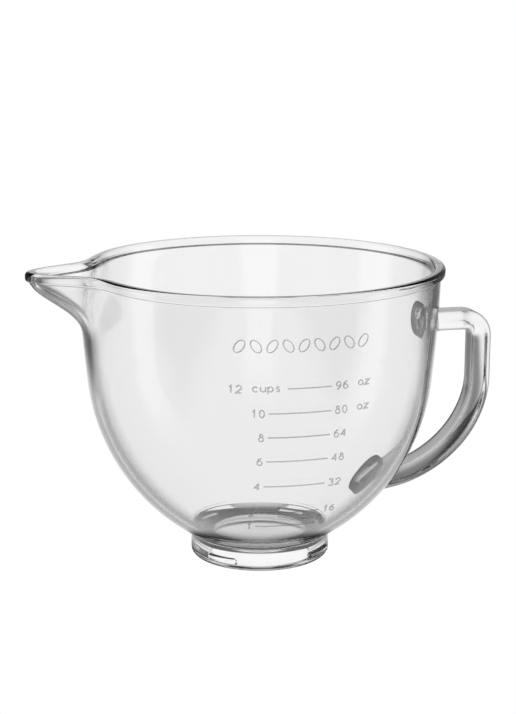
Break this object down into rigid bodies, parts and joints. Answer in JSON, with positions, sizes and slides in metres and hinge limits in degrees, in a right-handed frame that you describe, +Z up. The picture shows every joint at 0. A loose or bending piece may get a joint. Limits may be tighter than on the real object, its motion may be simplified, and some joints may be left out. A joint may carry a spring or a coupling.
{
  "type": "mixing bowl",
  "caption": "Clear pressed-glass mixing bowl with a pouring spout, a solid glass handle, a locking foot ring and a raised measuring scale.",
  "frame": {"origin": "centre of the foot ring, on the plane it stands on", "axes": "+Z up along the bowl's axis, +X towards the handle, -X towards the spout, -Y is the side with the measuring scale"},
  "size_m": [0.2952, 0.229, 0.1862],
  "materials": {
    "bowl_glass": "clear, fire polished",
    "foot_glass": "clear, pressed",
    "handle_glass": "clear, fire polished",
    "raised_glass": "clear, raised relief"
  },
  "bodies": {
    "root": {"bowl_shell": "bowl_glass", "foot_ring": "foot_glass", "locking_lugs": "foot_glass", "handle": "handle_glass", "scale_lines": "raised_glass", "cup_numerals": "raised_glass", "ounce_numerals": "raised_glass", "unit_words": "raised_glass", "wall_ornament": "raised_glass"}
  },
  "joints": []
}
